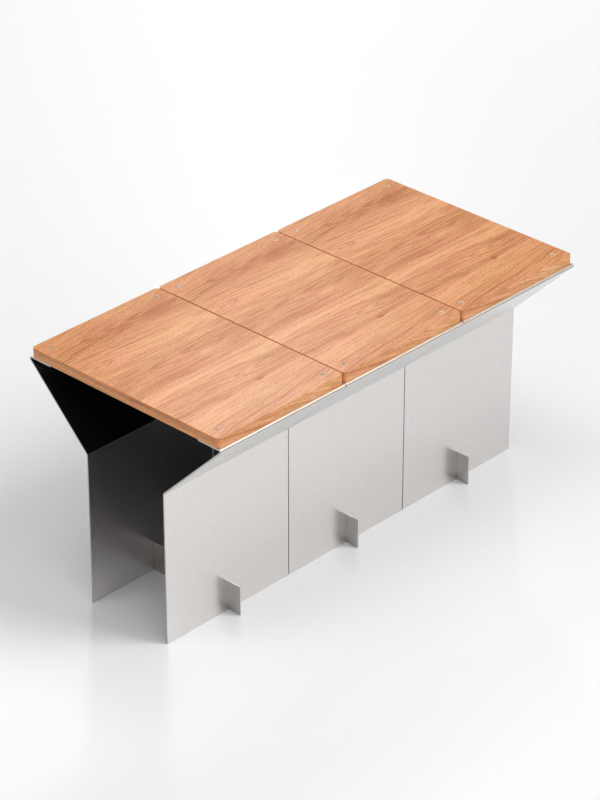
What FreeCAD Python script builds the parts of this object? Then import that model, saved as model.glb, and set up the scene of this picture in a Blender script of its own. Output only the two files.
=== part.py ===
import FreeCAD, Part
import math
import os
import Sketcher

# Table made of three free-standing modules in a row along X.
# Each module has two folded sheet panels, a cross strip slotted through both near the floor,
# and a wooden board screwed down on the lips of the panels.
# Frame: +Z up, origin on the floor in the middle of the table, front panels at -Y.

# Driving dimensions in millimetres and degrees: name, value, what it measures.
SIZES = (
    ("module_length", 487.0, "one module along the table"),
    ("module_gap", 3.0, "slit between two modules"),
    ("sheet_thickness", 4.0, "steel sheet of panels and cross strips"),
    ("bend_radius", 3.0, "inside radius of every fold"),
    ("wall_spread", 306.0, "outer face to outer face of the two upright walls"),
    ("fold_height", 490.0, "floor to the fold where a wall leans out"),
    ("flare_angle", 45.0, "lean of the flare from upright"),
    ("lip_height", 720.0, "floor to the top of the lips"),
    ("lip_width", 85.0, "lip from its rounded nose to its inner edge"),
    ("strip_height", 96.0, "cross strip from the floor up"),
    ("fin_reach", 47.0, "cross strip outside each wall"),
    ("lap_clearance", 0.2, "play round the slotted joint"),
    ("nose_reach", 8.1, "nose of the lip beyond the side of the board"),
    ("board_thickness", 30.0, "board"),
    ("board_corner", 13.0, "rounded upright corners of the board"),
    ("board_arris", 1.0, "chamfer along the top edges of the board"),
    ("screw_inset", 40.0, "screw centre from the end and the side of the board"),
    ("screw_size", 8.0, "thread diameter"),
    ("screw_length", 45.0, "screw with its countersunk head"),
    ("head_size", 16.0, "screw head across"),
    ("head_angle", 90.0, "cone of head and countersink"),
    ("head_sink", 0.3, "head below the face of the board"),
    ("seat_clearance", 0.1, "play between head and countersink"),
    ("socket_size", 5.0, "hexagon socket across flats"),
    ("socket_depth", 3.5, "hexagon socket"),
    ("bolt_hole", 9.0, "clearance hole in board and lip"),
    ("nut_size", 13.0, "nut across flats"),
    ("nut_height", 6.8, "nut"),
    ("thread_clearance", 0.05, "play between the plain cylinders of screw and nut"),
)

# Places and sizes that follow from the driving dimensions.
PLACES = (
    ("pitch", "Sizes.module_length + Sizes.module_gap"),
    ("wall_face", "Sizes.wall_spread / 2"),
    ("outer_bend", "Sizes.bend_radius + Sizes.sheet_thickness"),
    ("flare_line", "90 - Sizes.flare_angle"),
    ("flare_run", "(Sizes.lip_height - Sizes.fold_height) * tan(Sizes.flare_angle)"),
    ("flare_skin", "Sizes.sheet_thickness / cos(Sizes.flare_angle)"),
    ("nose_loss", "outer_bend * (tan(Sizes.flare_angle) + 1 / cos(Sizes.flare_angle) - 1)"),
    ("nose_face", "wall_face + flare_run - nose_loss"),
    ("lip_edge", "nose_face - Sizes.lip_width"),
    ("lap_width", "Sizes.sheet_thickness + 2 * Sizes.lap_clearance"),
    ("notch_floor", "Sizes.strip_height / 2"),
    ("slot_height", "notch_floor + Sizes.lap_clearance"),
    ("strip_length", "Sizes.wall_spread + 2 * Sizes.fin_reach"),
    ("wall_middle", "wall_face - Sizes.sheet_thickness / 2"),
    ("notch_inner", "wall_middle - lap_width / 2"),
    ("notch_outer", "wall_middle + lap_width / 2"),
    ("board_side", "nose_face - Sizes.nose_reach"),
    ("board_width", "2 * board_side"),
    ("board_top", "Sizes.lip_height + Sizes.board_thickness"),
    ("screw_x", "Sizes.module_length / 2 - Sizes.screw_inset"),
    ("screw_y", "board_side - Sizes.screw_inset"),
    ("screw_top", "board_top - Sizes.head_sink"),
    ("screw_radius", "Sizes.screw_size / 2"),
    ("head_radius", "Sizes.head_size / 2"),
    ("head_slope", "tan(Sizes.head_angle / 2)"),
    ("head_cone", "(head_radius - screw_radius) / head_slope"),
    ("countersink", "Sizes.head_size + 2 * (Sizes.head_sink * head_slope + Sizes.seat_clearance)"),
    ("bolt_radius", "Sizes.bolt_hole / 2"),
    ("socket_corner", "Sizes.socket_size / 2 / cos(30)"),
    ("nut_bottom", "Sizes.lip_height - Sizes.sheet_thickness - Sizes.nut_height"),
    ("nut_corner", "Sizes.nut_size / 2 / cos(30)"),
    ("nut_bore_radius", "screw_radius + Sizes.thread_clearance"),
)

# Modules from left to right, and how many pitches each stands from the middle one.
MODULES = (("left", -1), ("middle", 0), ("right", 1))

# How a sketch names the ends of a line, its origin and its two axes.
START, END, CENTRE = range(1, 4)
HORIZONTAL_AXIS, VERTICAL_AXIS = range(-1, -3, -1)
ORIGIN = (HORIZONTAL_AXIS, START)

TOUCH = 1e-4

doc = FreeCAD.newDocument("modular_table")
sizes = doc.addObject("Spreadsheet::Sheet", "Sizes")
for row, (name, value, meaning) in enumerate(SIZES, start=1):
    sizes.set(f"A{row}", name)
    sizes.set(f"B{row}", str(value))
    sizes.set(f"C{row}", meaning)
    sizes.setAlias(f"B{row}", name)
places = doc.addObject("Spreadsheet::Sheet", "Places")
for row, (name, formula) in enumerate(PLACES, start=1):
    places.set(f"A{row}", name)
    places.set(f"B{row}", "=" + formula)
    places.setAlias(f"B{row}", name)
doc.recompute()

SIZE_NAMES = {entry[0] for entry in SIZES}


def cell(name):
    """Expression for a named size or place."""
    return f"Sizes.{name}" if name in SIZE_NAMES else f"Places.{name}"


def number(name):
    """Present value of a named size or place."""
    return float((sizes if name in SIZE_NAMES else places).get(name))


def new_body(side, piece):
    body = doc.addObject("PartDesign::Body", f"{side}_{piece}")
    body.Label = f"{side}_{piece}"
    body.AllowCompound = True
    return body


def add_feature(body, kind, name):
    return body.newObject(f"PartDesign::{kind}", f"{body.Name}_{name}")


def origin_plane(body, role):
    return next(plane for plane in body.Origin.OriginFeatures if plane.Role == role)


def add_sketch(body, name, role, **shift):
    """Sketch on one of the body's own planes, moved along the sketch's axes by formulas."""
    sketch = body.newObject("Sketcher::SketchObject", f"{body.Name}_{name}")
    sketch.AttachmentSupport = [(origin_plane(body, role), "")]
    sketch.MapMode = "FlatFace"
    for axis, formula in shift.items():
        sketch.setExpression(f".AttachmentOffset.Base.{axis}", formula)
    return sketch


def tie(sketch, kind, *refs):
    return sketch.addConstraint(Sketcher.Constraint(kind, *refs))


def dimension(sketch, name, kind, *refs):
    """Dimension bound to a named size or place."""
    index = tie(sketch, kind, *refs, number(name))
    sketch.setExpression(f"Constraints[{index}]", cell(name))


def add_outline(sketch, points):
    """Closed outline of straight lines from point to point; gives its first line."""
    first = sketch.GeometryCount
    corners = [FreeCAD.Vector(x, y, 0) for x, y in points]
    for corner, following in zip(corners, corners[1:] + corners[:1]):
        sketch.addGeometry(Part.LineSegment(corner, following), False)
    for index in range(len(corners)):
        tie(sketch, "Coincident", first + index, END, first + (index + 1) % len(corners), START)
    return first


def add_box(sketch, left, bottom, right, top):
    """Rectangle: bottom, right, top and left line in that order; gives the bottom line."""
    first = add_outline(sketch, ((left, bottom), (right, bottom), (right, top), (left, top)))
    for step, direction in enumerate(("Horizontal", "Vertical", "Horizontal", "Vertical")):
        tie(sketch, direction, first + step)
    return first


def add_circle(sketch, x, y, radius_name):
    index = sketch.addGeometry(
        Part.Circle(FreeCAD.Vector(x, y, 0), FreeCAD.Vector(0, 0, 1), number(radius_name)), False)
    dimension(sketch, radius_name, "Radius", index)
    return index


def add_hexagon(sketch, corner_name):
    """Regular hexagon round the sketch's origin, with two level sides."""
    corner = number(corner_name)
    points = [(corner * math.cos(math.radians(60 * k)), corner * math.sin(math.radians(60 * k)))
              for k in range(6)]
    first = add_outline(sketch, points)
    ring = sketch.addGeometry(
        Part.Circle(FreeCAD.Vector(), FreeCAD.Vector(0, 0, 1), corner), True)
    tie(sketch, "Coincident", ring, CENTRE, *ORIGIN)
    dimension(sketch, corner_name, "Radius", ring)
    for side in range(6):
        tie(sketch, "PointOnObject", first + side, START, ring)
    for side in range(1, 6):
        tie(sketch, "Equal", first, first + side)
    tie(sketch, "Horizontal", first + 1)


def finish_sketch(sketch):
    """Solve a sketch that has to be fully held by its dimensions."""
    doc.recompute()
    if sketch.solve() != 0 or not sketch.FullyConstrained:
        raise RuntimeError(f"{sketch.Name} isn't fully constrained")


def pad(body, sketch, name, length_name, centred=False):
    feature = add_feature(body, "Pad", name)
    feature.Profile = sketch
    feature.setExpression("Length", cell(length_name))
    if centred:
        feature.SideType = "Symmetric"
    doc.recompute()
    return feature


def pocket(body, sketch, name, length_name=None, centred=False):
    """Cut to a named depth or right through, and make sure that it takes something away."""
    before = body.Shape.Volume
    feature = add_feature(body, "Pocket", name)
    feature.Profile = sketch
    if length_name:
        feature.setExpression("Length", cell(length_name))
    else:
        feature.Type = "ThroughAll"
    if centred:
        feature.SideType = "Symmetric"
    doc.recompute()
    if body.Shape.Volume > before - TOUCH:
        raise RuntimeError(f"{feature.Name} cuts nothing")
    return feature


def turned(body, sketch, name):
    """Revolution all round the sketch's vertical axis."""
    feature = add_feature(body, "Revolution", name)
    feature.Profile = sketch
    feature.ReferenceAxis = (sketch, ["V_Axis"])
    feature.Angle = 360
    doc.recompute()
    return feature


def dress_edges(body, base, kind, name, size_name, wanted):
    """Fillet or Chamfer on those edges of the feature that the test picks out."""
    edges = [f"Edge{i}" for i, edge in enumerate(base.Shape.Edges, start=1) if wanted(edge)]
    feature = add_feature(body, kind, name)
    feature.Base = (base, edges)
    feature.setExpression({"Fillet": "Radius", "Chamfer": "Size"}[kind], cell(size_name))
    doc.recompute()
    return feature


def near(edge, y, z):
    """Whether an edge runs along X at this y and z."""
    return all(abs(v.Y - y) < TOUCH and abs(v.Z - z) < TOUCH for v in edge.Vertexes)


def spread_to_corners(body, originals):
    """Repeat what was made at one corner of the module at the other three."""
    halves = []
    for role in ("YZ_Plane", "XZ_Plane"):
        mirror = add_feature(body, "Mirrored", f"over_{role[:2]}")
        mirror.MirrorPlane = (origin_plane(body, role), [""])
        halves.append(mirror)
    corners = add_feature(body, "MultiTransform", "corners")
    corners.Originals = originals
    corners.Transformations = halves
    body.Tip = corners
    doc.recompute()


def panel_profile(body):
    """Section of a folded panel: upright wall, flare and lip, one sheet thick, corners sharp."""
    sketch = add_sketch(body, "section", "YZ_Plane")
    wall, fold, lip = number("wall_face"), number("fold_height"), number("lip_height")
    sheet, skin, run = number("sheet_thickness"), number("flare_skin"), number("flare_run")
    lean = math.tan(math.radians(number("flare_angle")))
    inner_fold = fold + (skin - sheet) / lean
    first = add_outline(sketch, (
        (wall, 0), (wall, fold), (wall + run, lip), (number("lip_edge"), lip),
        (number("lip_edge"), lip - sheet), (wall + run - skin - sheet * lean, lip - sheet),
        (wall - sheet, inner_fold), (wall - sheet, 0)))
    wall_out, flare_out, lip_top, lip_end, lip_under, flare_in, wall_in, foot = range(first, first + 8)
    for line in (wall_out, lip_end, wall_in):
        tie(sketch, "Vertical", line)
    for line in (lip_top, lip_under, foot):
        tie(sketch, "Horizontal", line)
    tie(sketch, "Parallel", flare_out, flare_in)
    tie(sketch, "PointOnObject", wall_out, START, HORIZONTAL_AXIS)
    dimension(sketch, "wall_face", "DistanceX", *ORIGIN, wall_out, START)
    dimension(sketch, "fold_height", "DistanceY", *ORIGIN, wall_out, END)
    dimension(sketch, "lip_height", "DistanceY", *ORIGIN, lip_top, START)
    dimension(sketch, "lip_edge", "DistanceX", *ORIGIN, lip_top, END)
    dimension(sketch, "sheet_thickness", "DistanceY", lip_end, END, lip_end, START)
    dimension(sketch, "sheet_thickness", "DistanceX", foot, START, foot, END)
    dimension(sketch, "sheet_thickness", "Distance", flare_out, START, flare_in)
    lean_angle = tie(sketch, "Angle", flare_out, math.radians(number("flare_line")))
    sketch.setExpression(f"Constraints[{lean_angle}]", cell("flare_line") + " * 1 deg")
    finish_sketch(sketch)
    return sketch, (wall_out, lip_top, flare_in, wall_in)


def make_panel(side, piece, turn):
    """Folded panel at +Y, or turned half round to -Y, with its floor slot and two screw holes."""
    body = new_body(side, piece)
    sketch, (wall_out, lip_top, flare_in, wall_in) = panel_profile(body)
    folds = [sketch.Geometry[line].StartPoint if line in (lip_top, flare_in, wall_in)
             else sketch.Geometry[line].EndPoint for line in (wall_out, lip_top, flare_in, wall_in)]
    fold_outside, nose_outside, nose_inside, fold_inside = ((p.x, p.y) for p in folds)
    blank = pad(body, sketch, "sheet", "module_length", centred=True)
    tight = dress_edges(body, blank, "Fillet", "inside_bends", "bend_radius",
                        lambda edge: near(edge, *fold_outside) or near(edge, *nose_inside))
    dress_edges(body, tight, "Fillet", "outside_bends", "outer_bend",
                lambda edge: near(edge, *fold_inside) or near(edge, *nose_outside))

    slot = add_sketch(body, "slot_outline", "XZ_Plane")
    half = number("lap_width") / 2
    foot = add_box(slot, -half, 0, half, number("slot_height"))
    tie(slot, "Symmetric", foot, START, foot, END, *ORIGIN)
    dimension(slot, "lap_width", "DistanceX", foot, START, foot, END)
    dimension(slot, "slot_height", "DistanceY", foot + 1, START, foot + 1, END)
    finish_sketch(slot)
    pocket(body, slot, "strip_slot", centred=True)

    holes = add_sketch(body, "hole_centres", "XY_Plane", z=cell("lip_height"))
    pair = [add_circle(holes, end * number("screw_x"), number("screw_y"), "bolt_radius")
            for end in (-1, 1)]
    tie(holes, "Symmetric", pair[0], CENTRE, pair[1], CENTRE, VERTICAL_AXIS)
    dimension(holes, "screw_x", "DistanceX", *ORIGIN, pair[1], CENTRE)
    dimension(holes, "screw_y", "DistanceY", *ORIGIN, pair[1], CENTRE)
    finish_sketch(holes)
    pocket(body, holes, "screw_holes", "sheet_thickness")
    body.Placement = FreeCAD.Placement(
        FreeCAD.Vector(), FreeCAD.Rotation(FreeCAD.Vector(0, 0, 1), turn))
    return body


def make_cross_strip(side):
    """Strip on edge across the module, notched from above where it passes the two walls."""
    body = new_body(side, "cross_strip")
    blank = add_sketch(body, "strip_outline", "YZ_Plane")
    half = number("strip_length") / 2
    foot = add_box(blank, -half, 0, half, number("strip_height"))
    tie(blank, "Symmetric", foot, START, foot, END, *ORIGIN)
    dimension(blank, "strip_length", "DistanceX", foot, START, foot, END)
    dimension(blank, "strip_height", "DistanceY", foot + 1, START, foot + 1, END)
    finish_sketch(blank)
    pad(body, blank, "sheet", "sheet_thickness", centred=True)

    notches = add_sketch(body, "notch_outlines", "YZ_Plane")
    inner, outer = number("notch_inner"), number("notch_outer")
    floor, top = number("notch_floor"), number("strip_height")
    right = add_box(notches, inner, floor, outer, top)
    left = add_box(notches, -outer, floor, -inner, top)
    dimension(notches, "notch_inner", "DistanceX", *ORIGIN, right, START)
    dimension(notches, "notch_outer", "DistanceX", *ORIGIN, right, END)
    dimension(notches, "notch_floor", "DistanceY", *ORIGIN, right, START)
    dimension(notches, "strip_height", "DistanceY", *ORIGIN, right + 2, START)
    tie(notches, "Symmetric", right, START, left, END, VERTICAL_AXIS)
    tie(notches, "Symmetric", right + 2, START, left + 2, END, VERTICAL_AXIS)
    finish_sketch(notches)
    pocket(body, notches, "wall_notches", centred=True)
    return body


def make_board(side):
    """Wooden board on the lips, with four countersunk holes near its corners."""
    body = new_body(side, "board")
    outline = add_sketch(body, "board_outline", "XY_Plane", z=cell("lip_height"))
    half_length, half_width = number("module_length") / 2, number("board_side")
    near_side = add_box(outline, -half_length, -half_width, half_length, half_width)
    tie(outline, "Symmetric", near_side, START, near_side + 2, START, *ORIGIN)
    dimension(outline, "module_length", "DistanceX", near_side, START, near_side, END)
    dimension(outline, "board_width", "DistanceY", near_side + 1, START, near_side + 1, END)
    finish_sketch(outline)
    plank = pad(body, outline, "plank", "board_thickness")
    corners = dress_edges(body, plank, "Fillet", "corners", "board_corner",
                          lambda edge: abs(edge.Vertexes[0].Z - edge.Vertexes[1].Z) > TOUCH)
    top = number("board_top")
    dress_edges(body, corners, "Chamfer", "top_arris", "board_arris",
                lambda edge: all(abs(v.Z - top) < TOUCH for v in edge.Vertexes))

    centres = add_sketch(body, "hole_centres", "XY_Plane", z=cell("board_top"))
    x, y = number("screw_x"), number("screw_y")
    first = add_circle(centres, x, y, "bolt_radius")
    dimension(centres, "screw_x", "DistanceX", *ORIGIN, first, CENTRE)
    dimension(centres, "screw_y", "DistanceY", *ORIGIN, first, CENTRE)
    mirrored = (((-x, y), (VERTICAL_AXIS,)), ((x, -y), (HORIZONTAL_AXIS,)), ((-x, -y), ORIGIN))
    for across, mirror in mirrored:
        other = add_circle(centres, *across, "bolt_radius")
        tie(centres, "Symmetric", first, CENTRE, other, CENTRE, *mirror)
    finish_sketch(centres)
    before = body.Shape.Volume
    holes = add_feature(body, "Hole", "screw_holes")
    holes.Profile = centres
    doc.recompute()
    holes.DepthType = "ThroughAll"
    holes.setExpression("Diameter", cell("bolt_hole"))
    holes.HoleCutType = "Countersink"
    holes.HoleCutCustomValues = True
    holes.setExpression("HoleCutDiameter", cell("countersink"))
    holes.setExpression("HoleCutCountersinkAngle", cell("head_angle") + " * 1 deg")
    doc.recompute()
    if body.Shape.Volume > before - TOUCH:
        raise RuntimeError("the board has no screw holes")
    return body


def make_screws(side):
    """Four countersunk screws with a hexagon socket, heads just below the board's face."""
    body = new_body(side, "screws")
    section = add_sketch(body, "section", "XZ_Plane", x=cell("screw_x"), z="-" + cell("screw_y"))
    top, head, shank = number("screw_top"), number("head_radius"), number("screw_radius")
    end = top - number("screw_length")
    first = add_outline(section, (
        (0, top), (head, top), (shank, top - number("head_cone")), (shank, end), (0, end)))
    face, cone, thread, end_face, axis = range(first, first + 5)
    for line in (face, end_face):
        tie(section, "Horizontal", line)
    for line in (thread, axis):
        tie(section, "Vertical", line)
    tie(section, "PointOnObject", face, START, VERTICAL_AXIS)
    dimension(section, "screw_top", "DistanceY", *ORIGIN, face, START)
    dimension(section, "head_radius", "DistanceX", *ORIGIN, face, END)
    dimension(section, "head_cone", "DistanceY", cone, END, cone, START)
    dimension(section, "screw_radius", "DistanceX", *ORIGIN, thread, START)
    dimension(section, "screw_length", "DistanceY", axis, START, axis, END)
    finish_sketch(section)
    blank = turned(body, section, "blank")

    socket = add_sketch(body, "socket_outline", "XY_Plane",
                        x=cell("screw_x"), y=cell("screw_y"), z=cell("screw_top"))
    add_hexagon(socket, "socket_corner")
    finish_sketch(socket)
    recess = pocket(body, socket, "socket", "socket_depth")
    spread_to_corners(body, [blank, recess])
    return body


def make_nuts(side):
    """Four hexagon nuts under the lips."""
    body = new_body(side, "nuts")
    outline = add_sketch(body, "hexagon", "XY_Plane",
                         x=cell("screw_x"), y=cell("screw_y"), z=cell("nut_bottom"))
    add_hexagon(outline, "nut_corner")
    bore = add_circle(outline, 0, 0, "nut_bore_radius")
    tie(outline, "Coincident", bore, CENTRE, *ORIGIN)
    finish_sketch(outline)
    spread_to_corners(body, [pad(body, outline, "blank", "nut_height")])
    return body


# How many separate solids each piece of a module is.
SOLIDS = {"front_panel": 1, "back_panel": 1, "cross_strip": 1, "board": 1,
          "screws": 4, "nuts": 4}


def make_module(side, step):
    """All pieces of one module, moved along X to its place in the row."""
    pieces = {
        "front_panel": make_panel(side, "front_panel", 180),
        "back_panel": make_panel(side, "back_panel", 0),
        "cross_strip": make_cross_strip(side),
        "board": make_board(side),
        "screws": make_screws(side),
        "nuts": make_nuts(side),
    }
    for body in pieces.values():
        body.setExpression(".Placement.Base.x", f"{step} * {cell('pitch')}")
    return pieces


def check(nodes):
    """Stop if any object failed, or if a piece isn't the valid solids that it should be."""
    for thing in doc.Objects:
        if "Invalid" in thing.State or "Error" in thing.State:
            raise RuntimeError(f"{thing.Label} failed")
    for body, solids in nodes:
        shape = body.Shape
        if shape.isNull() or not shape.isValid() or len(shape.Solids) != solids:
            raise RuntimeError(f"{body.Label} isn't {solids} valid solids")


nodes = []
for side, step in MODULES:
    for piece, body in make_module(side, step).items():
        nodes.append((body, SOLIDS[piece]))
doc.recompute()
check(nodes)

os.makedirs("parts", exist_ok=True)
for body, _ in nodes:
    body.Shape.exportStep(f"parts/{body.Label}.step")
    box = body.Shape.BoundBox
    spans = ((box.XMin, box.XMax), (box.YMin, box.YMax), (box.ZMin, box.ZMax))
    reach = "  ".join(f"{axis} {low:8.2f} {high:8.2f}" for axis, (low, high) in zip("xyz", spans))
    print(f"{body.Label:22s} {len(body.Shape.Solids)} solids  volume {body.Shape.Volume:11.1f}  {reach}")
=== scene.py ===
import math

import bpy
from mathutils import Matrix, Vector


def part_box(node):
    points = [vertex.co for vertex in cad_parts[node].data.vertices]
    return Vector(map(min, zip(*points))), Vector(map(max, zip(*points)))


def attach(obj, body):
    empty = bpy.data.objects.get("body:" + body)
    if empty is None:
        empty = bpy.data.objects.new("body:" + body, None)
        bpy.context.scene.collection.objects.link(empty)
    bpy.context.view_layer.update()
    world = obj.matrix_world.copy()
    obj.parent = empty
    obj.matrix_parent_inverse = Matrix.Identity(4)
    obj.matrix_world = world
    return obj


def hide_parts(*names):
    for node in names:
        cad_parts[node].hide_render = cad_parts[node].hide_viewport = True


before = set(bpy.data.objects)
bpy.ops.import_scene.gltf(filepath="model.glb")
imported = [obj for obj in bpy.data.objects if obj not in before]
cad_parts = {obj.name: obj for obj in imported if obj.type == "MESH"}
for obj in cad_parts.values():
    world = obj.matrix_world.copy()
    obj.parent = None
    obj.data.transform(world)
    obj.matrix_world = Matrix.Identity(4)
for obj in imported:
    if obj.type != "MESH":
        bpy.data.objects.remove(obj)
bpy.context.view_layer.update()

# Outdoor table of three equal modules in a row along X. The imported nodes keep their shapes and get
# brushed steel and oiled wood. Screws and nuts are modelled again with sockets, threads and chamfers.
# Everything is in metres, in the table's own frame: floor at z 0, front at -Y.

MODULES = ("left", "middle", "right")

# Standpoint of the photograph, fitted to the table's corners and screw heads.
CAMERA_AZIMUTH = -46.47
CAMERA_ELEVATION = 29.99
CAMERA_DISTANCE = 9.525
CAMERA_LENS = 146.3
CAMERA_REACH = 100
CAMERA_AIM = Vector((0.0528, 0.0848, 0.3634))


def direction(azimuth, elevation):
    """Unit vector from the table to a place at that azimuth and elevation; azimuth 0 is the front."""
    turn, rise = math.radians(azimuth), math.radians(elevation)
    return Vector((math.sin(turn) * math.cos(rise), -math.cos(turn) * math.cos(rise), math.sin(rise)))


def aim(thing, target):
    """Turn a camera or lamp to look at a point."""
    thing.rotation_euler = (target - thing.location).to_track_quat("-Z", "Y").to_euler()


def stand_camera():
    camera = bpy.data.objects.new("camera", bpy.data.cameras.new("camera"))
    camera.data.lens = CAMERA_LENS
    camera.data.clip_end = CAMERA_REACH
    camera.location = CAMERA_AIM + direction(CAMERA_AZIMUTH, CAMERA_ELEVATION) * CAMERA_DISTANCE
    aim(camera, CAMERA_AIM)
    bpy.context.scene.collection.objects.link(camera)
    bpy.context.scene.camera = camera


# Shader building: small functions that place one node and give its output.
WHITE = (1.0, 1.0, 1.0, 1.0)


def feed(tree, socket, value):
    """Link an output to a socket, or set the socket's constant."""
    if isinstance(value, bpy.types.NodeSocket):
        tree.links.new(value, socket)
    else:
        socket.default_value = value


def place(tree, kind, inputs=None, **settings):
    """Node with its settings, and its inputs given as sockets or constants by name or number."""
    made = tree.nodes.new(kind)
    for name, value in settings.items():
        setattr(made, name, value)
    for name, value in (inputs or {}).items():
        feed(tree, made.inputs[name], value)
    return made


def maths(tree, operation, *values):
    return place(tree, "ShaderNodeMath", dict(enumerate(values)), operation=operation).outputs[0]


def vector_maths(tree, operation, *values):
    return place(tree, "ShaderNodeVectorMath", dict(enumerate(values)), operation=operation).outputs[0]


def length_of(tree, vector):
    return place(tree, "ShaderNodeVectorMath", {0: vector}, operation="LENGTH").outputs["Value"]


def scaled(tree, colour, amount):
    inputs = {0: colour, "Scale": amount}
    return place(tree, "ShaderNodeVectorMath", inputs, operation="SCALE").outputs[0]


def axes_of(tree, vector):
    return place(tree, "ShaderNodeSeparateXYZ", {0: vector}).outputs


def from_axes(tree, *axes):
    return place(tree, "ShaderNodeCombineXYZ", dict(enumerate(axes))).outputs[0]


def remap(tree, value, low, high, new_low=0.0, new_high=1.0):
    """Smooth step from one level at low to another at high."""
    inputs = {"Value": value, "From Min": low, "From Max": high, "To Min": new_low, "To Max": new_high}
    return place(tree, "ShaderNodeMapRange", inputs, interpolation_type="SMOOTHSTEP").outputs[0]


def noise(tree, vector, stretch, detail, roughness):
    """Noise from 0 to 1 whose grains have the given count per metre along each axis."""
    stretched = vector_maths(tree, "MULTIPLY", vector, stretch)
    inputs = {"Vector": stretched, "Scale": 1.0, "Detail": detail, "Roughness": roughness}
    return place(tree, "ShaderNodeTexNoise", inputs).outputs["Fac"]


def blend_colours(tree, share, first, second, kind="MIX"):
    inputs = {"Factor": share, 6: first, 7: second}
    return place(tree, "ShaderNodeMix", inputs, data_type="RGBA", blend_type=kind).outputs[2]


def blend_places(tree, share, first, second):
    inputs = {"Factor": share, 4: first, 5: second}
    return place(tree, "ShaderNodeMix", inputs, data_type="VECTOR").outputs[1]


def ramp(tree, value, stops):
    """Colour ramp from (position, colour) stops."""
    made = place(tree, "ShaderNodeValToRGB", {"Fac": value})
    elements = made.color_ramp.elements
    for index, (position, colour) in enumerate(stops):
        element = elements[index] if index < 2 else elements.new(position)
        element.position = position
        element.color = colour
    return made.outputs["Color"]


def bump(tree, height, strength, distance):
    inputs = {"Height": height, "Strength": strength, "Distance": distance}
    return place(tree, "ShaderNodeBump", inputs).outputs[0]


def object_place(tree):
    return place(tree, "ShaderNodeTexCoord").outputs["Object"]


def object_normal(tree):
    return place(tree, "ShaderNodeTexCoord").outputs["Normal"]


def light_ray(tree, kind):
    """1 where light travels along a ray of that kind, such as a camera ray."""
    return place(tree, "ShaderNodeLightPath").outputs[kind]


def new_group(name, inputs, outputs):
    """Shader node group with typed inputs and outputs; gives the tree and its two end nodes."""
    tree = bpy.data.node_groups.new(name, "ShaderNodeTree")
    for in_out, sockets in (("INPUT", inputs), ("OUTPUT", outputs)):
        for socket_name, kind in sockets.items():
            tree.interface.new_socket(socket_name, in_out=in_out, socket_type=f"NodeSocket{kind}")
    return tree, tree.nodes.new("NodeGroupInput").outputs, tree.nodes.new("NodeGroupOutput").inputs


def use_group(tree, group, inputs=None):
    return place(tree, "ShaderNodeGroup", inputs, node_tree=group).outputs


def new_material(name):
    material = bpy.data.materials.new(name)
    material.use_nodes = True
    tree = material.node_tree
    tree.nodes.clear()
    output = tree.nodes.new("ShaderNodeOutputMaterial")
    shader = tree.nodes.new("ShaderNodeBsdfPrincipled")
    tree.links.new(shader.outputs[0], output.inputs["Surface"])
    return material, tree, shader


def recolour(tree, shader, shade, tint=None):
    """Shade and tint what already feeds the base colour."""
    colour = shader.inputs["Base Color"].links[0].from_socket
    if tint is not None:
        colour = vector_maths(tree, "MULTIPLY", colour, tint)
    tree.links.new(scaled(tree, colour, shade), shader.inputs["Base Color"])


# Shares of the surface normal along an axis between which a face fades into a mask.
SQUARE_FACE = (0.75, 0.85)
TOP_FACE = (0.80, 0.90)
SLANTED_FACE = (0.45, 0.60)
ROUNDED_FACE = (0.15, 0.40)
BEND_FACE = (0.92, 0.98)


def facing_group():
    """Masks of the faces that look along the table, across it, up, down, and aslant down."""
    masks = ("Ends", "Sides", "Top", "Under", "Slant")
    tree, _, ends = new_group("facing", {}, dict.fromkeys(masks, "Float"))
    x, y, z = axes_of(tree, object_normal(tree))
    downward = maths(tree, "MULTIPLY", z, -1.0)
    under = remap(tree, downward, *SQUARE_FACE)
    tree.links.new(remap(tree, maths(tree, "ABSOLUTE", x), *SQUARE_FACE), ends["Ends"])
    tree.links.new(remap(tree, maths(tree, "ABSOLUTE", y), *SQUARE_FACE), ends["Sides"])
    tree.links.new(remap(tree, z, *TOP_FACE), ends["Top"])
    tree.links.new(under, ends["Under"])
    tree.links.new(maths(tree, "SUBTRACT", remap(tree, downward, *SLANTED_FACE), under), ends["Slant"])
    return tree


facing = facing_group()


# Steel. Brushing: grains per metre along and across the scratches, then detail and roughness of the noise.
FINE_SCRATCHES = ((60.0, 1100.0, 1100.0), 2.0, 0.6)
COARSE_SCRATCHES = ((120.0, 330.0, 330.0), 2.0, 0.6)
CLOUDS = ((5.0, 9.0, 9.0), 2.0, 0.5)
FINE_TONE = 0.14
COARSE_TONE = 0.16
CLOUD_TONE = 0.03
FINE_ROUGHNESS = 0.10
CLOUD_ROUGHNESS = 0.05
SCRATCH_BUMP = 0.08
SCRATCH_DEPTH = 0.0001

SHEET_COLOUR = (0.730, 0.708, 0.698)
# The strip's steel is painted darker as shade.
STRIP_COLOUR_WITH_PAINTED_SHADE = (0.50, 0.485, 0.475)
BRUSHED_ROUGHNESS = 0.30
CUT_ROUGHNESS = 0.12
# The sheet's cut faces are painted darker as shade.
SHEET_CUT_FACE_SHADE = 0.70
# The strip's cut faces are painted lighter, back out of the strip's painted shade.
STRIP_CUT_FACE_LIFT = 1.50

# Painted light on the sheet: a reflection on the flare's outside, highlights on the nose above it and the
# lip's flat.
PAINTED_FLARE_REFLECTION = (1.06, 1.11, 1.12, 1.0)
PAINTED_NOSE_HIGHLIGHT = (1.22, 1.05, 0.90, 1.0)
PAINTED_LIP_HIGHLIGHT = (1.35, 1.25, 1.12, 1.0)
NOSE_DEPTH = 0.008
NOSE_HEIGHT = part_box("middle_front_panel")[1].z - NOSE_DEPTH
# Painted shade on the sheet: along the line where the nose is bent, on the flare's inside, and in the light
# it scatters.
PAINTED_BEND_SHADE = 0.70
PAINTED_FLARE_INSIDE_SHADE = 0.15
PAINTED_BOUNCE_SHADE = 0.55


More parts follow.
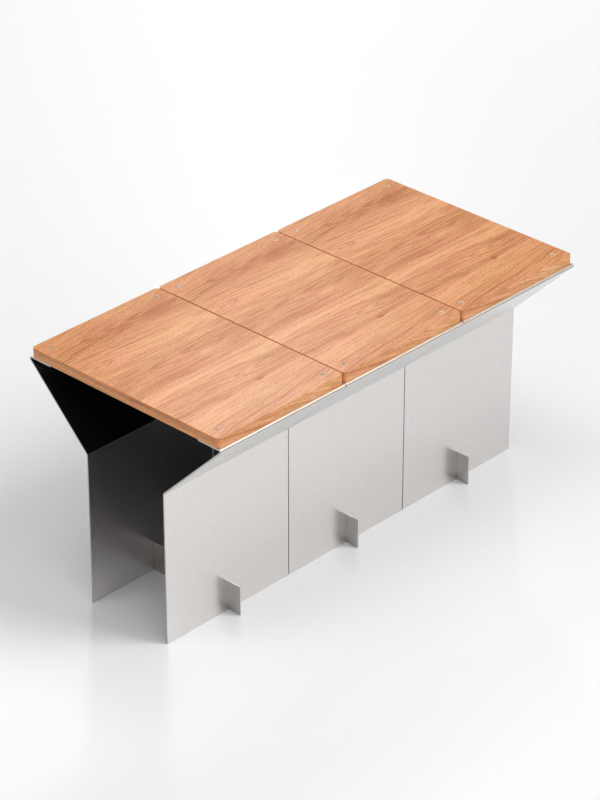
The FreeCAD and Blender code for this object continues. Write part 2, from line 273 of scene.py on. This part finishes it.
def brushing_group():
    """Fine parallel scratches and faint clouds, with the first axis of the place along the scratches."""
    tree, given, ends = new_group("brushing", {"Place": "Vector", "Strength": "Float"},
                                  {"Tone": "Float", "Roughness": "Float", "Height": "Float"})
    fine, coarse, clouds = (maths(tree, "SUBTRACT", noise(tree, given["Place"], *grains), 0.5)
                            for grains in (FINE_SCRATCHES, COARSE_SCRATCHES, CLOUDS))
    tone = maths(tree, "MULTIPLY_ADD", coarse, COARSE_TONE, maths(tree, "MULTIPLY", fine, FINE_TONE))
    tone = maths(tree, "MULTIPLY_ADD", clouds, CLOUD_TONE, tone)
    rough = maths(tree, "MULTIPLY", clouds, CLOUD_ROUGHNESS)
    rough = maths(tree, "MULTIPLY_ADD", fine, FINE_ROUGHNESS, rough)
    tree.links.new(maths(tree, "MULTIPLY_ADD", tone, given["Strength"], 1.0), ends["Tone"])
    tree.links.new(maths(tree, "MULTIPLY", rough, given["Strength"]), ends["Roughness"])
    tree.links.new(fine, ends["Height"])
    return tree


brushing = brushing_group()


def swap_axes(tree, vector, order):
    """The same place with its axes in another order, such as "YXZ"."""
    axes = dict(zip("XYZ", axes_of(tree, vector)))
    return from_axes(tree, *(axes[letter] for letter in order))


def shade_where(tree, mask, shade):
    """1, but the given shade where the mask is 1."""
    return maths(tree, "MULTIPLY_ADD", mask, shade - 1.0, 1.0)


def steel_material(name, order, colour, roughness, strength=1.0, cut_faces=None, painted_cut_light=1.0):
    """Brushed stainless steel; order names the axis along the scratches first, cut faces are rougher and
    painted lighter or darker.
    """
    material, tree, shader = new_material(name)
    spot = swap_axes(tree, object_place(tree), order)
    marks = use_group(tree, brushing, {"Place": spot, "Strength": strength})
    rough = maths(tree, "ADD", marks["Roughness"], roughness)
    tone = marks["Tone"]
    if cut_faces:
        cut = use_group(tree, facing)[cut_faces]
        rough = maths(tree, "MULTIPLY_ADD", cut, CUT_ROUGHNESS, rough)
        # Painted light or shade on the cut faces.
        tone = maths(tree, "MULTIPLY", tone, shade_where(tree, cut, painted_cut_light))
    tree.links.new(scaled(tree, colour, tone), shader.inputs["Base Color"])
    tree.links.new(rough, shader.inputs["Roughness"])
    shader.inputs["Metallic"].default_value = 1.0
    tree.links.new(bump(tree, marks["Height"], SCRATCH_BUMP, SCRATCH_DEPTH), shader.inputs["Normal"])
    return material, tree, shader


def sheet_material():
    """Brushed sheet: painted warm highlights on nose and lip, a cooler painted reflection on the flare,
    painted shade.
    """
    material, tree, shader = steel_material("brushed_sheet", "XYZ", SHEET_COLOUR, BRUSHED_ROUGHNESS,
                                            cut_faces="Ends", painted_cut_light=SHEET_CUT_FACE_SHADE)
    faces = use_group(tree, facing)
    _, y, z = axes_of(tree, object_normal(tree))
    height = axes_of(tree, object_place(tree))[2]
    on_nose = maths(tree, "GREATER_THAN", height, NOSE_HEIGHT)
    rounded = maths(tree, "MULTIPLY", remap(tree, z, *ROUNDED_FACE), on_nose)
    bend = maths(tree, "MULTIPLY", remap(tree, maths(tree, "ABSOLUTE", y), *BEND_FACE), on_nose)
    inside = maths(tree, "MULTIPLY", remap(tree, z, *SLANTED_FACE), maths(tree, "SUBTRACT", 1.0, on_nose))

    # Painted light: a reflection on the flare's outside and highlights on the rounded nose and the lip's
    # flat.
    tint = blend_colours(tree, faces["Slant"], WHITE, PAINTED_FLARE_REFLECTION)
    tint = blend_colours(tree, rounded, tint, PAINTED_NOSE_HIGHLIGHT)
    tint = blend_colours(tree, faces["Top"], tint, PAINTED_LIP_HIGHLIGHT)
    # Painted shade along the bend and on the flare's inside under the board.
    shade = maths(tree, "MULTIPLY", shade_where(tree, bend, PAINTED_BEND_SHADE),
                  shade_where(tree, inside, PAINTED_FLARE_INSIDE_SHADE))
    # Light the sheet scatters is dimmed: a painted shade on the floor in front of the walls.
    scattered = shade_where(tree, light_ray(tree, "Is Diffuse Ray"), PAINTED_BOUNCE_SHADE)
    recolour(tree, shader, maths(tree, "MULTIPLY", shade, scattered), tint)
    return material


def strip_material():
    """Sheet with upright scratches, painted darker as shade, its cut faces painted back to about the sheet's
    brightness.
    """
    return steel_material("brushed_strip", "ZXY", STRIP_COLOUR_WITH_PAINTED_SHADE, BRUSHED_ROUGHNESS,
                          cut_faces="Sides", painted_cut_light=STRIP_CUT_FACE_LIFT)[0]


# Wood. Places are in metres on one board: along X from its middle, across Y from its middle.
MODULE_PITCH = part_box("right_board")[0].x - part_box("middle_board")[0].x
BOARD_HALF_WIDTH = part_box("middle_board")[1].y
BOARD_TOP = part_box("middle_board")[1].z
# Nests of growth lines: middle along, middle across, half length, half width, push across.
NESTS = (
    (0.150, 0.284, 0.270, 0.038, 0.046),
    (0.290, 0.032, 0.390, 0.031, 0.040),
    (-0.300, 0.150, 0.160, 0.028, 0.026),
    (0.250, -0.165, 0.220, 0.028, -0.034),
)
# Oval lines in a nest: spacing as a share of its size, share of a wave that shows, and where they fade.
NEST_LINE_SPACING = 0.33
NEST_LINE_WAVE = (0.10, 1.0)
NEST_LINE_FADE = (1.40, 0.85)
# Darker and lighter places: middle along, middle across, half length, half width, change of tone.
SPOTS = (
    (0.145, 0.276, 0.085, 0.016, -0.32),
    (0.000, 0.262, 0.090, 0.035, -0.15),
    (-0.180, 0.252, 0.160, 0.007, -0.15),
    (0.060, 0.150, 0.130, 0.007, 0.19),
    (0.190, 0.095, 0.090, 0.018, -0.19),
    (-0.200, 0.030, 0.120, 0.030, -0.11),
    (0.225, 0.030, 0.035, 0.012, -0.22),
    (-0.090, -0.035, 0.120, 0.022, -0.12),
    (0.200, -0.155, 0.130, 0.018, -0.18),
    (-0.110, -0.212, 0.090, 0.006, -0.22),
    (-0.080, -0.306, 0.060, 0.008, -0.17),
)
# Tone across the board: distance from its back in metres, tone from 0 dark to 1 light.
BANDS = (
    (0.000, 0.55), (0.030, 0.42), (0.060, 0.48), (0.085, 0.36), (0.105, 0.30), (0.120, 0.40), (0.140, 0.36),
    (0.150, 0.52), (0.175, 0.52), (0.195, 0.70), (0.215, 0.82), (0.232, 0.72), (0.262, 0.62), (0.285, 0.60),
    (0.298, 0.34), (0.310, 0.52), (0.345, 0.42), (0.395, 0.40), (0.418, 0.24), (0.427, 0.70), (0.455, 0.84),
    (0.490, 0.78), (0.502, 0.34), (0.512, 0.56), (0.545, 0.50), (0.577, 0.40), (0.590, 0.64), (0.630, 0.72),
    (0.655, 0.56), (0.680, 0.50), (0.705, 0.38), (0.730, 0.48),
)
BAND_SHARE = 0.62
LEAST_TONE = 0.09
KNOT = (0.068, -0.215, 0.0)
KNOT_SIZE = (0.014, 0.008, 1.0)
KNOT_FADE = (1.4, 0.3)
KNOT_TONE = -1.00
# Colour from the darkest growth line to the lightest wood, and tints of the pinker and the yellower places.
WOOD_TONES = (
    (0.0, (0.445, 0.119, 0.010, 1.0)),
    (0.5, (0.638, 0.234, 0.062, 1.0)),
    (1.0, (0.832, 0.379, 0.152, 1.0)),
)
PINK_TINT = (1.015, 0.98, 1.06, 1.0)
YELLOW_TINT = (0.985, 1.02, 0.94, 1.0)
HUE_FADE = (0.3, 0.7)

# Noises of the wood: grains per metre along, across and up, then detail and roughness.
WANDER = ((3.0, 6.0, 6.0), 1.0, 0.5)
RIPPLE = ((11.0, 40.0, 40.0), 2.0, 0.5)
BROAD_GRAIN = ((3.0, 34.0, 3.0), 1.0, 0.5)
STREAKS = ((5.0, 165.0, 5.0), 1.0, 0.7)
GROWTH_LINES = ((3.5, 90.0, 3.5), 1.0, 0.5)
FIBRES = ((14.0, 280.0, 14.0), 3.0, 0.7)
PATCHES = ((7.0, 16.0, 16.0), 2.0, 0.5)
DASHES = ((8.0, 170.0, 8.0), 1.0, 0.6)
PORES = ((120.0, 260.0, 260.0), 2.0, 0.5)
HUES = ((5.0, 22.0, 22.0), 1.0, 0.5)
NOISE_OFFSET = (3.1, 7.7, 1.3)
# Levels of the noise between which each kind of mark fades in.
GROWTH_LINE_FADE = (0.46, 0.36)
DASH_FADE = (0.54, 0.66)
PORE_FADE = (0.45, 0.68)
# How far the noises bend the growth lines, and the places of nests' lines and spots.
LINE_WANDER = 0.030
LINE_RIPPLE = 0.006
SPOT_WANDER = 0.020
SPOT_RIPPLE = 0.010
# Slope of the lines near the back and the front: distances from the back where it starts and is full, slope.
SLOPES = ((0.110, 0.020, 0.24), (0.550, 0.710, 0.15))
# What each layer adds to the tone about its middle, and each mark where it shows, with what all the wood
# gets back for that mark.
LAYER_SHARES = {"broad": 0.42, "streaks": 0.97, "fibres": 0.90, "patches": 0.30}
MARK_SHARES = {
    "lines": (-0.26, 0.18),
    "nest_lines": (-0.32, 0.04),
    "dashes": (-0.32, 0.06),
    "pores": (-0.36, 0.09),
}

WOOD_ROUGHNESS = 0.50
TONE_ROUGHNESS = -0.10
PORE_DEPTH = 0.5
FIBRE_BUMP = 0.15
FIBRE_DEPTH = 0.0002
WOOD_SPECULAR = 0.25
OIL_COAT = 0.5
OIL_ROUGHNESS = 0.18
# End grain: the board's height, stretched and moved to a place among the growth lines.
END_GRAIN_STRETCH = 1.5
END_GRAIN_OFFSET = -0.038
# Painted sheen on the long sides of the boards.
SIDE_PAINTED_SHEEN = (1.03, 1.18, 1.46, 1.0)
# Painted shade on the underside, wherever it is not seen straight from the camera.
PAINTED_UNDERSIDE_SHADE = 0.03


def within_oval(tree, spot, middle_along, middle_across, length, width):
    """Offset from an oval's middle as shares of its half length and half width."""
    off = vector_maths(tree, "SUBTRACT", spot, (middle_along, middle_across, 0.0))
    return vector_maths(tree, "DIVIDE", off, (length, width, 1.0))


def swell(tree, spot, *shape):
    """Soft oval hill, 1 in its middle."""
    off = within_oval(tree, spot, *shape)
    square = place(tree, "ShaderNodeVectorMath", {0: off, 1: off}, operation="DOT_PRODUCT").outputs["Value"]
    return maths(tree, "EXPONENT", maths(tree, "MULTIPLY", square, -1.0))


def nested_lines(tree, spot, *shape):
    """Oval lines round a nest's middle, at even shares of its size, that fade outwards."""
    reach = length_of(tree, within_oval(tree, spot, *shape))
    waves = maths(tree, "COSINE", maths(tree, "MULTIPLY", reach, 2 * math.pi / NEST_LINE_SPACING))
    return maths(tree, "MULTIPLY", remap(tree, waves, *NEST_LINE_WAVE), remap(tree, reach, *NEST_LINE_FADE))


def growth_line_places(tree, spot, centred):
    """Distance from the board's back along bent lines, and the place itself bent a little."""
    along, across, up = axes_of(tree, spot)
    wander = maths(tree, "SUBTRACT", noise(tree, centred, *WANDER), 0.5)
    ripple = maths(tree, "SUBTRACT", noise(tree, centred, *RIPPLE), 0.5)
    from_back = maths(tree, "SUBTRACT", BOARD_HALF_WIDTH, across)
    tilt = 0.0
    for start, full, slope in SLOPES:
        tilt = maths(tree, "ADD", remap(tree, from_back, start, full, 0.0, slope), tilt)
    line = maths(tree, "MULTIPLY_ADD", along, tilt, from_back)
    line = maths(tree, "MULTIPLY_ADD", wander, LINE_WANDER, line)
    line = maths(tree, "ADD", up, maths(tree, "MULTIPLY_ADD", ripple, LINE_RIPPLE, line))
    bent_across = maths(tree, "MULTIPLY_ADD", wander, SPOT_WANDER, across)
    bent_across = maths(tree, "MULTIPLY_ADD", ripple, SPOT_RIPPLE, bent_across)
    return line, from_axes(tree, along, bent_across, up)


def knot_mask(tree, spot):
    off = vector_maths(tree, "SUBTRACT", spot, KNOT)
    return remap(tree, length_of(tree, vector_maths(tree, "DIVIDE", off, KNOT_SIZE)), *KNOT_FADE)


def grain_group():
    """Wood grain of one board: colour, roughness and height from a place along, across and up."""
    tree, given, ends = new_group("grain", {"Place": "Vector"},
                                  {"Colour": "Color", "Roughness": "Float", "Height": "Float"})
    spot = given["Place"]
    centred = vector_maths(tree, "ADD", spot, NOISE_OFFSET)
    line, bent = growth_line_places(tree, spot, centred)
    rings, nest_lines = line, 0.0
    for *shape, push in NESTS:
        rings = maths(tree, "MULTIPLY_ADD", swell(tree, spot, *shape), push, rings)
        nest_lines = maths(tree, "MAXIMUM", nested_lines(tree, bent, *shape), nest_lines)

    along, _, up = axes_of(tree, spot)
    along_rings = from_axes(tree, along, rings, up)
    along_line = from_axes(tree, along, line, up)
    layers = {
        "broad": noise(tree, along_rings, *BROAD_GRAIN),
        "streaks": noise(tree, along_rings, *STREAKS),
        "fibres": noise(tree, along_line, *FIBRES),
        "patches": noise(tree, centred, *PATCHES),
    }
    marks = {
        "lines": remap(tree, noise(tree, along_rings, *GROWTH_LINES), *GROWTH_LINE_FADE),
        "nest_lines": nest_lines,
        "dashes": remap(tree, noise(tree, along_line, *DASHES), *DASH_FADE),
        "pores": remap(tree, noise(tree, centred, *PORES), *PORE_FADE),
    }

    width = 2 * BOARD_HALF_WIDTH
    stops = [(distance / width, (tone, tone, tone, 1.0)) for distance, tone in BANDS]
    bands = ramp(tree, maths(tree, "DIVIDE", line, width), stops)
    tone = maths(tree, "MULTIPLY_ADD", bands, BAND_SHARE, LEAST_TONE)
    for name, share in LAYER_SHARES.items():
        tone = maths(tree, "MULTIPLY_ADD", maths(tree, "SUBTRACT", layers[name], 0.5), share, tone)
    for name, (depth, given_back) in MARK_SHARES.items():
        tone = maths(tree, "MULTIPLY_ADD", marks[name], depth, maths(tree, "ADD", tone, given_back))
    for *shape, change in SPOTS:
        tone = maths(tree, "MULTIPLY_ADD", swell(tree, bent, *shape), change, tone)
    tone = maths(tree, "MULTIPLY_ADD", knot_mask(tree, spot), KNOT_TONE, tone)

    tint = blend_colours(tree, remap(tree, noise(tree, centred, *HUES), *HUE_FADE), PINK_TINT, YELLOW_TINT)
    tree.links.new(blend_colours(tree, 1.0, ramp(tree, tone, WOOD_TONES), tint, "MULTIPLY"), ends["Colour"])
    tree.links.new(maths(tree, "MULTIPLY_ADD", tone, TONE_ROUGHNESS, WOOD_ROUGHNESS), ends["Roughness"])
    pits = maths(tree, "MULTIPLY", marks["pores"], PORE_DEPTH)
    tree.links.new(maths(tree, "SUBTRACT", layers["fibres"], pits), ends["Height"])
    return tree


grain = grain_group()


def wood_material():
    """Oiled wood, grain along the table and alike on each board; painted sheen on the long sides, painted
    shade underneath.
    """
    material, tree, shader = new_material("oiled_wood")
    x, y, z = axes_of(tree, object_place(tree))
    on_board = maths(tree, "WRAP", x, MODULE_PITCH / 2, -MODULE_PITCH / 2)
    depth = maths(tree, "SUBTRACT", z, BOARD_TOP)
    from_top = maths(tree, "MULTIPLY_ADD", depth, END_GRAIN_STRETCH, END_GRAIN_OFFSET)
    lengthways = from_axes(tree, on_board, y, depth)
    endways = from_axes(tree, y, from_top, 0.0)
    faces = use_group(tree, facing)
    figure = use_group(tree, grain, {"Place": blend_places(tree, faces["Ends"], lengthways, endways)})

    # Painted shade: seen from anything but the camera, the underside is dark.
    unseen = maths(tree, "SUBTRACT", 1.0, light_ray(tree, "Is Camera Ray"))
    shade = shade_where(tree, maths(tree, "MULTIPLY", unseen, faces["Under"]), PAINTED_UNDERSIDE_SHADE)
    tree.links.new(figure["Colour"], shader.inputs["Base Color"])
    # The long sides are paler with a painted sheen.
    recolour(tree, shader, shade, blend_colours(tree, faces["Sides"], WHITE, SIDE_PAINTED_SHEEN))
    tree.links.new(figure["Roughness"], shader.inputs["Roughness"])
    tree.links.new(bump(tree, figure["Height"], FIBRE_BUMP, FIBRE_DEPTH), shader.inputs["Normal"])
    shader.inputs["Specular IOR Level"].default_value = WOOD_SPECULAR
    shader.inputs["Coat Weight"].default_value = OIL_COAT
    shader.inputs["Coat Roughness"].default_value = OIL_ROUGHNESS
    return material


def paint(node_name, material):
    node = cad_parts[node_name]
    for index in range(max(1, len(node.material_slots))):
        if index >= len(node.data.materials):
            node.data.materials.append(material)
        node.material_slots[index].link = "OBJECT"
        node.material_slots[index].material = material


# Screws and nuts, as rings of points round an upright axis.
SEGMENTS = 48
SHARP_EDGE_ANGLE = 35
SCREW_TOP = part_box("middle_screws")[1].z
SCREW_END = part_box("middle_screws")[0].z
NUT_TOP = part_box("middle_nuts")[1].z
NUT_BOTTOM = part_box("middle_nuts")[0].z
HEAD_RADIUS = 0.008
HEAD_RIM = 0.0004
RIM_CHAMFER = 0.0002
THREAD_RADIUS = 0.004
THREAD_DEPTH = 0.0006
THREAD_PITCH = 0.00125
THREAD_LENGTH = 0.0175
ROWS_PER_TURN = 6
TIP_CHAMFER = 0.001
TIP_RADIUS = 0.0027
SOCKET_ACROSS = 0.005
SOCKET_DEPTH = 0.0035
SOCKET_CHAMFER = 0.0003
NUT_ACROSS = 0.013
NUT_FACE_RADIUS = 0.0061
NUT_CHAMFER_ANGLE = 30
BORE_RADIUS = 0.00405
BORE_CHAMFER = 0.0006

# Steel of the screws and nuts, with a warm tint that is a painted reflection of the wood.
FASTENER_STEEL_AND_REFLECTION_COLOUR = (0.93, 0.72, 0.57)
FASTENER_ROUGHNESS = 0.42
FASTENER_BRUSHING = 0.5
# The socket is painted dark as shade between these depths under the head's top.
PAINTED_SOCKET_SHADE = 0.05
SHADE_START = 0.0006
SHADE_END = 0.0045


def fastener_material():
    """Duller steel tinted warm as a painted reflection, with painted shade inside the socket."""
    material, tree, shader = steel_material("turned_steel", "ZXY", FASTENER_STEEL_AND_REFLECTION_COLOUR, FASTENER_ROUGHNESS,
                                            FASTENER_BRUSHING)
    height = axes_of(tree, object_place(tree))[2]
    in_socket = maths(tree, "MULTIPLY", maths(tree, "LESS_THAN", height, SCREW_TOP - SHADE_START),
                      maths(tree, "GREATER_THAN", height, SCREW_TOP - SHADE_END))
    # Painted shade inside the socket.
    recolour(tree, shader, shade_where(tree, in_socket, PAINTED_SOCKET_SHADE))
    return material


def hexagon_radius(across_flats, angle):
    """Distance from the middle to a hexagon's outline at an angle."""
    step = math.pi / 3
    return across_flats / 2 / math.cos((angle + step / 2) % step - step / 2)


def level(radius, height):
    """Plain circle."""
    return lambda angle: (radius, height)


def ring_points(rings, centre_x, centre_y):
    """Points of rings, each a function from an angle to a radius and a height, round one centre."""
    points = []
    for ring in rings:
        for index in range(SEGMENTS):
            angle = 2 * math.pi * index / SEGMENTS
            radius, height = ring(angle)
            points.append((centre_x + radius * math.cos(angle), centre_y + radius * math.sin(angle), height))
    return points


def ring_faces(first, rows, loop):
    """Faces between neighbouring rings; a loop joins the last to the first, and otherwise both are filled."""
    faces = []
    for row in range(rows if loop else rows - 1):
        here, there = first + row * SEGMENTS, first + (row + 1) % rows * SEGMENTS
        for index in range(SEGMENTS):
            beside = (index + 1) % SEGMENTS
            faces.append((here + index, here + beside, there + beside, there + index))
    if not loop:
        faces.append(tuple(first + index for index in reversed(range(SEGMENTS))))
        faces.append(tuple(first + (rows - 1) * SEGMENTS + index for index in range(SEGMENTS)))
    return faces


def ring_mesh(name, rings, centres, loop):
    """One mesh of closed rings round each centre."""
    points, faces = [], []
    for centre_x, centre_y in centres:
        faces += ring_faces(len(points), len(rings), loop)
        points += ring_points(rings, centre_x, centre_y)
    mesh = bpy.data.meshes.new(name)
    mesh.from_pydata(points, [], faces)
    mesh.validate()
    made = bpy.data.objects.new(name, mesh)
    bpy.context.scene.collection.objects.link(made)
    return made


def smooth_by_angle(made):
    """Round faces shade smooth, and sharp edges stay crisp."""
    mesh = made.data
    mesh.polygons.foreach_set("use_smooth", [True] * len(mesh.polygons))
    mesh.set_sharp_from_angle(angle=math.radians(SHARP_EDGE_ANGLE))


def thread_ring(height):
    """Ring of the thread, shallower near its top and drawn in at the tip."""
    def ring(angle):
        turn = (height / THREAD_PITCH - angle / (2 * math.pi)) % 1.0
        cut = THREAD_DEPTH * (1 - abs(2 * turn - 1))
        taper = min(1.0, (SCREW_END + THREAD_LENGTH - height) / THREAD_PITCH)
        tip = max(0.0, TIP_CHAMFER - (height - SCREW_END))
        return max(THREAD_RADIUS - cut * taper - tip, TIP_RADIUS), height
    return ring


def screw_rings():
    """From the socket's floor out over the head, down the shank and thread to the tip."""
    def socket(height, extra=0.0):
        return lambda angle: (hexagon_radius(SOCKET_ACROSS, angle) + extra, height)

    shoulder = SCREW_TOP - HEAD_RIM - (HEAD_RADIUS - THREAD_RADIUS)
    thread_top = SCREW_END + THREAD_LENGTH
    rows = int(THREAD_LENGTH / THREAD_PITCH * ROWS_PER_TURN)
    head = [
        socket(SCREW_TOP - SOCKET_DEPTH), socket(SCREW_TOP - SOCKET_CHAMFER),
        socket(SCREW_TOP, SOCKET_CHAMFER), level(HEAD_RADIUS - SOCKET_CHAMFER, SCREW_TOP),
        level(HEAD_RADIUS, SCREW_TOP - RIM_CHAMFER), level(HEAD_RADIUS, SCREW_TOP - HEAD_RIM),
    ]
    shank = [level(THREAD_RADIUS, shoulder), level(THREAD_RADIUS, thread_top)]
    thread = [thread_ring(thread_top - THREAD_LENGTH * row / rows) for row in range(1, rows + 1)]
    return head + shank + thread


def nut_rings():
    """Hexagon with both faces chamfered, then back through the bore."""
    slope = math.tan(math.radians(NUT_CHAMFER_ANGLE))

    def corner(face, inward):
        def ring(angle):
            radius = hexagon_radius(NUT_ACROSS, angle)
            return radius, face + inward * max(0.0, radius - NUT_FACE_RADIUS) * slope
        return ring

    return [
        level(BORE_RADIUS, NUT_TOP - BORE_CHAMFER), level(BORE_RADIUS + BORE_CHAMFER, NUT_TOP),
        level(NUT_FACE_RADIUS, NUT_TOP), corner(NUT_TOP, -1), corner(NUT_BOTTOM, 1),
        level(NUT_FACE_RADIUS, NUT_BOTTOM), level(BORE_RADIUS + BORE_CHAMFER, NUT_BOTTOM),
        level(BORE_RADIUS, NUT_BOTTOM + BORE_CHAMFER),
    ]


def fastener_centres(side):
    """Screw axes of a module, from the corners of its screws' box."""
    low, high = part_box(f"{side}_screws")
    return [(x, y) for x in (low.x + HEAD_RADIUS, high.x - HEAD_RADIUS)
            for y in (low.y + HEAD_RADIUS, high.y - HEAD_RADIUS)]


def fit_fasteners(side, material):
    for piece, rings, loop in (("screws", screw_rings(), False), ("nuts", nut_rings(), True)):
        made = ring_mesh(f"{side}_detailed_{piece}", rings, fastener_centres(side), loop)
        smooth_by_angle(made)
        made.data.materials.append(material)
        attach(made, f"{side}_module")
        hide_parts(f"{side}_{piece}")


FLOOR_SIZE = 60.0
FLOOR_COLOUR = (0.90, 0.90, 0.90, 1.0)
PAINTED_LIGHT_FLOOR_COLOUR = (0.975, 0.975, 0.975, 1.0)
FLOOR_ROUGHNESS = 0.27
# The floor is painted paler, as light, between these lines: out in front, and beyond the left end but not in
# front of that.
PALE_IN_FRONT = (-0.80, -1.15)
PALE_BEYOND_END = (-0.90, -1.25)
END_PALE_BACK = (-0.80, -0.25)
END_PALE_SHARE = 0.85


def lay_floor():
    """Large pale studio floor with a slight gloss and painted light, softly paler out in front and beyond the
    left end.
    """
    mesh = bpy.data.meshes.new("studio_floor")
    half = FLOOR_SIZE / 2
    corners = [(-half, -half, 0), (half, -half, 0), (half, half, 0), (-half, half, 0)]
    mesh.from_pydata(corners, [], [(0, 1, 2, 3)])
    floor = bpy.data.objects.new("studio_floor", mesh)
    bpy.context.scene.collection.objects.link(floor)
    material, tree, shader = new_material("studio_floor")
    x, y, _ = axes_of(tree, object_place(tree))
    in_front = remap(tree, y, *PALE_IN_FRONT)
    beyond_end = maths(tree, "MULTIPLY", remap(tree, x, *PALE_BEYOND_END),
                       remap(tree, y, *END_PALE_BACK, 0.0, END_PALE_SHARE))
    # Painted light on the floor.
    paler = maths(tree, "MAXIMUM", in_front, beyond_end)
    tree.links.new(blend_colours(tree, paler, FLOOR_COLOUR, PAINTED_LIGHT_FLOOR_COLOUR), shader.inputs["Base Color"])
    shader.inputs["Roughness"].default_value = FLOOR_ROUGHNESS
    mesh.materials.append(material)


# Distant soft lamps: azimuth, elevation and apparent width in degrees, then strength.
LAMPS = {
    "overhead_lamp": (0, 90, 62, 0.91),
    "key_lamp": (34, 47, 29, 1.56),
    "low_key_lamp": (44, 21, 18, 0.06),
    "front_fill": (-9, 27, 30, 0.52),
    "corner_fill": (320, 45, 26, 0.34),
    "side_fill": (248, 60, 28, 0.27),
    "high_side_fill": (275, 75, 20, 0.23),
    "low_side_fill": (285, 20, 24, 0.11),
    "back_fill": (125, 10, 24, 0.30),
    "low_sheen_lamp": (138, 20, 12, 0.054),
    "sheen_lamp": (134, 32, 6, 0.071),
}
LAMP_DISTANCE = 5
ROOM_LIGHT = 0.03


def hang_lamp(name, azimuth, elevation, width, strength):
    lamp = bpy.data.lights.new(name, "SUN")
    lamp.angle = math.radians(width)
    lamp.energy = strength
    made = bpy.data.objects.new(name, lamp)
    made.location = direction(azimuth, elevation) * LAMP_DISTANCE
    aim(made, Vector((0, 0, 0)))
    bpy.context.scene.collection.objects.link(made)


def light_studio():
    for name, settings in LAMPS.items():
        hang_lamp(name, *settings)
    world = bpy.data.worlds.new("studio")
    world.use_nodes = True
    background = world.node_tree.nodes["Background"]
    background.inputs["Color"].default_value = WHITE
    background.inputs["Strength"].default_value = ROOM_LIGHT
    bpy.context.scene.world = world
    bpy.context.scene.view_settings.view_transform = "Standard"


wood = wood_material()
sheet_steel = sheet_material()
strip_steel = strip_material()
dull_steel = fastener_material()

for side in MODULES:
    paint(f"{side}_front_panel", sheet_steel)
    paint(f"{side}_back_panel", sheet_steel)
    paint(f"{side}_cross_strip", strip_steel)
    paint(f"{side}_board", wood)
    fit_fasteners(side, dull_steel)

lay_floor()
light_studio()
stand_camera()
